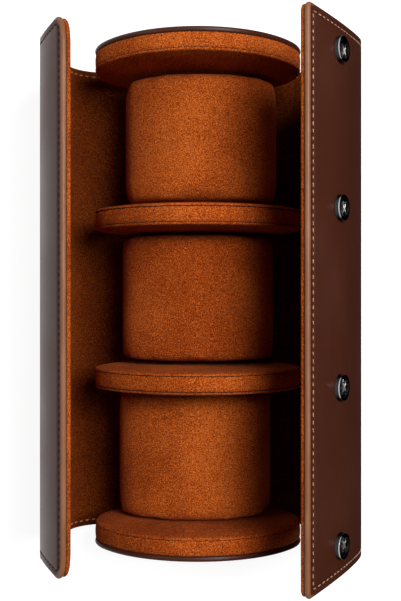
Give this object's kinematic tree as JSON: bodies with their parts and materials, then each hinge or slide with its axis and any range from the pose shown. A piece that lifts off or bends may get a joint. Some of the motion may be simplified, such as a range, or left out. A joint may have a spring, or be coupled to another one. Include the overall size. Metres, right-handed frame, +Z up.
{
  "type": "watch travel case",
  "caption": "Soft roll for watches: a leather wrap lined with suede round stiff plates and dividers, with a pillow in each compartment and snaps along the flap.",
  "frame": {"origin": "middle of the bounding box on the resting face, with the flaps open", "axes": "X across the case, with the flap that carries the sockets at +X; Y along the row of compartments; Z up"},
  "size_m": [0.1272, 0.2, 0.1075],
  "materials": {
    "leather": "smooth brown leather with a soft sheen",
    "suede": "rust-coloured microsuede",
    "board": "grey-brown fibre board",
    "foam": "cream foam",
    "gunmetal": "black-nickel plated brass",
    "plated_steel": "plated steel",
    "spring_wire": "bright spring wire"
  },
  "bodies": {
    "base": {"floor_leather": "leather", "floor_board": "board", "floor_lining": "suede", "front_end_facing": "leather", "front_end_board": "board", "front_end_band": "suede", "front_end_pad": "suede", "back_end_facing": "leather", "back_end_board": "board", "back_end_band": "suede", "back_end_pad": "suede", "front_divider_board": "board", "front_divider_band": "suede", "front_divider_pads": "suede", "back_divider_board": "board", "back_divider_band": "suede", "back_divider_pads": "suede"},
    "left_side": {"left_side_leather": "leather", "left_side_board": "board", "left_side_lining": "suede"},
    "left_flap": {"left_flap_leather": "leather", "left_flap_board": "board", "left_flap_lining": "suede", "snap_studs": "gunmetal", "stud_caps": "plated_steel"},
    "right_side": {"right_side_leather": "leather", "right_side_board": "board", "right_side_lining": "suede"},
    "right_flap": {"right_flap_leather": "leather", "right_flap_board": "board", "right_flap_lining": "suede", "snap_sockets": "gunmetal", "socket_springs": "spring_wire", "socket_eyelets": "plated_steel"},
    "front_pillow": {"front_pillow_cover": "suede", "front_pillow_foam": "foam"},
    "middle_pillow": {"middle_pillow_cover": "suede", "middle_pillow_foam": "foam"},
    "back_pillow": {"back_pillow_cover": "suede", "back_pillow_foam": "foam"}
  },
  "joints": [
    {"name": "left_side_hinge", "type": "hinge", "parent": "base", "child": "left_side", "pos_m": [-0.02549, 0, 0.0019], "axis": [0, -1, 0], "range_deg": [-23.9, 0]},
    {"name": "left_flap_hinge", "type": "hinge", "parent": "left_side", "child": "left_flap", "pos_m": [-0.0598, 0, 0.06118], "axis": [0, -1, 0], "range_deg": [-28.7, 35]},
    {"name": "right_side_hinge", "type": "hinge", "parent": "base", "child": "right_side", "pos_m": [0.02252, 0, 0.0019], "axis": [0, 1, 0], "range_deg": [-32, 0]},
    {"name": "right_flap_hinge", "type": "hinge", "parent": "right_side", "child": "right_flap", "pos_m": [0.05954, 0, 0.05813], "axis": [0, 1, 0], "range_deg": [-33.5, 35]},
    {"name": "front_pillow_lift", "type": "slide", "parent": "base", "child": "front_pillow", "axis": [0, 0, 1], "range_m": [0, 0.09]},
    {"name": "middle_pillow_lift", "type": "slide", "parent": "base", "child": "middle_pillow", "axis": [0, 0, 1], "range_m": [0, 0.09]},
    {"name": "back_pillow_lift", "type": "slide", "parent": "base", "child": "back_pillow", "axis": [0, 0, 1], "range_m": [0, 0.09]}
  ]
}
